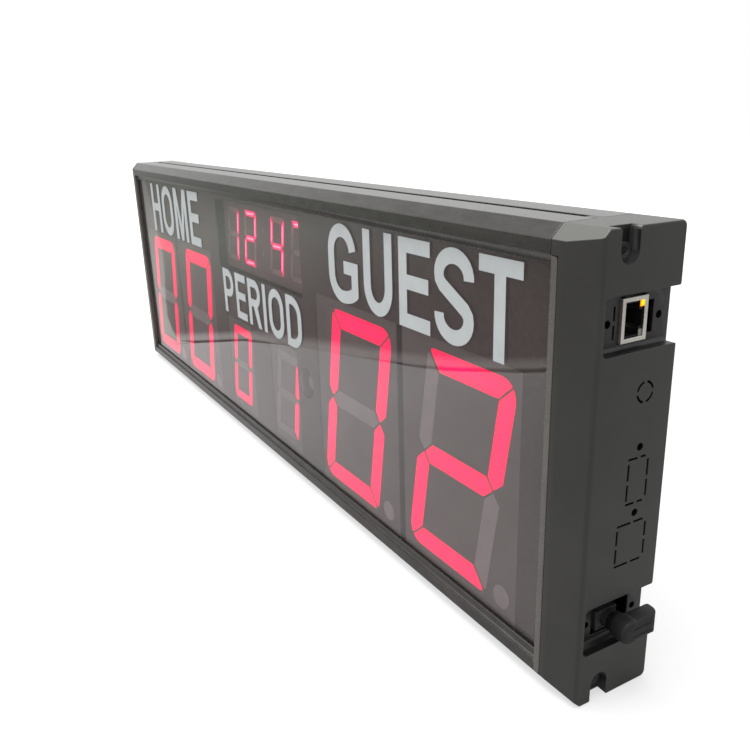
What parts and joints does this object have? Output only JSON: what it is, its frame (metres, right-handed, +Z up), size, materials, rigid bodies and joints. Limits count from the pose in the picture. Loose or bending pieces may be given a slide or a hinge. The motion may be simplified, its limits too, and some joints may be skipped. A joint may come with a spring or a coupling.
{
  "type": "electronic scoreboard",
  "caption": "Tabletop electronic scoreboard with lit seven-segment digits behind a smoked panel, extruded rails and moulded end caps with sockets.",
  "frame": {"origin": "underside, middle of the length, centre of the flat land in front of the bottom slot", "axes": "+X along the length towards the end with the sockets, +Y from the display towards the rear, +Z up"},
  "size_m": [0.6076, 0.0421, 0.19],
  "materials": {
    "anodised_rail": "dark satin anodised, drawn along its length",
    "cap_plastic": "fine moulded grain",
    "strip_plastic": "smooth satin",
    "smoked_acrylic": "glossy smoked sheet",
    "mask_film": "matt printed film",
    "back_sheet": "satin painted sheet",
    "digit_case": "matt",
    "lit_segments": "diffusing epoxy, lit red where the digit shows",
    "circuit_board": "green solder mask",
    "screw_steel": "zinc plated",
    "plated_metal": "nickel plated",
    "contact_gold": "gold plated",
    "amber_lamp": "diffusing lens, lit amber",
    "clear_lamp": "diffusing lens, unlit",
    "standoff_brass": "turned",
    "capacitor_sleeve": "shrunk sleeve",
    "ribbon_grey": "flexible grey",
    "black_plastic": "satin black"
  },
  "bodies": {
    "scoreboard": {"back_panel": "back_sheet", "bottom_rail": "anodised_rail", "buzzer": "black_plastic", "cap_screw_left_bottom": "screw_steel", "cap_screw_left_top": "screw_steel", "cap_screw_right_bottom": "screw_steel", "cap_screw_right_top": "screw_steel", "clock_case": "digit_case", "clock_segments": "lit_segments", "coin_cell": "plated_metal", "coin_cell_holder": "black_plastic", "control_board": "circuit_board", "control_screw_1": "screw_steel", "control_screw_2": "screw_steel", "control_screw_3": "screw_steel", "control_screw_4": "screw_steel", "control_standoff_1": "standoff_brass", "control_standoff_2": "standoff_brass", "control_standoff_3": "standoff_brass", "control_standoff_4": "standoff_brass", "display_board": "circuit_board", "end_cap_left": "cap_plastic", "end_cap_right": "cap_plastic", "filter_capacitor": "capacitor_sleeve", "front_panel": "smoked_acrylic", "guest_ones_case": "digit_case", "guest_ones_segments": "lit_segments", "guest_tens_case": "digit_case", "guest_tens_segments": "lit_segments", "home_ones_case": "digit_case", "home_ones_segments": "lit_segments", "home_tens_case": "digit_case", "home_tens_segments": "lit_segments", "ir_receiver": "black_plastic", "link_lamp": "amber_lamp", "mask_film": "mask_film", "network_jack_contacts": "contact_gold", "network_jack_insert": "black_plastic", "network_jack_shield": "plated_metal", "period_ones_case": "digit_case", "period_ones_segments": "lit_segments", "period_tens_case": "digit_case", "period_tens_segments": "lit_segments", "power_jack": "black_plastic", "power_jack_pin": "plated_metal", "processor_chip": "black_plastic", "side_strip_left": "strip_plastic", "side_strip_right": "strip_plastic", "socket_board": "circuit_board", "socket_board_screw_bottom": "screw_steel", "socket_board_screw_top": "screw_steel", "socket_ribbon": "ribbon_grey", "status_lamp": "clear_lamp", "top_rail": "anodised_rail", "voltage_regulator": "black_plastic"},
    "plug": {"plug_body": "black_plastic", "plug_sleeve": "plated_metal"}
  },
  "joints": [
    {"name": "plug_slide", "type": "slide", "parent": "scoreboard", "child": "plug", "axis": [1, 0, 0], "range_m": [0, 0.01]}
  ]
}
